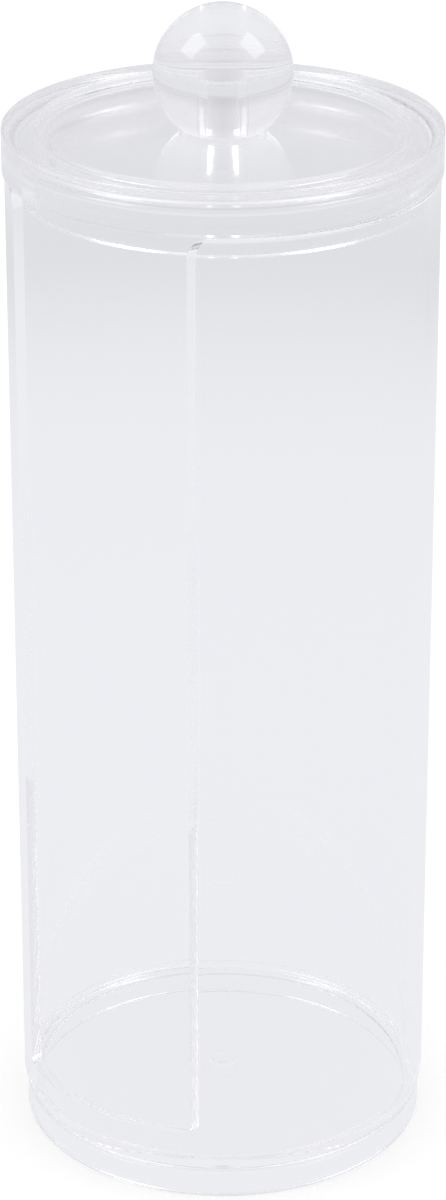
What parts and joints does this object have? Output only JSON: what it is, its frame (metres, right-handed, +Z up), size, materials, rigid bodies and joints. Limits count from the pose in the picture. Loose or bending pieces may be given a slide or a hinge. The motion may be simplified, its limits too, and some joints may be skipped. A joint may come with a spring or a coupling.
{
  "type": "cotton pad holder",
  "caption": "Tall round clear jar that holds a stack of cotton pads, with an upright slot in its wall and a plug lid with a ball knob.",
  "frame": {"origin": "centre of the foot ring, on the surface that the jar stands on", "axes": "+Z up along the jar's axis, -Y out through the middle of the slot, +X to the right when facing the slot"},
  "size_m": [0.0708, 0.0708, 0.1983],
  "materials": {
    "jar_plastic": "clear polished",
    "lid_plastic": "clear polished",
    "knob_plastic": "clear polished"
  },
  "bodies": {
    "holder": {"jar": "jar_plastic"},
    "cover": {"lid": "lid_plastic", "knob": "knob_plastic"}
  },
  "joints": [
    {"name": "lid_lift", "type": "slide", "parent": "holder", "child": "cover", "axis": [0, 0, 1], "range_m": [0, 0.05]}
  ]
}
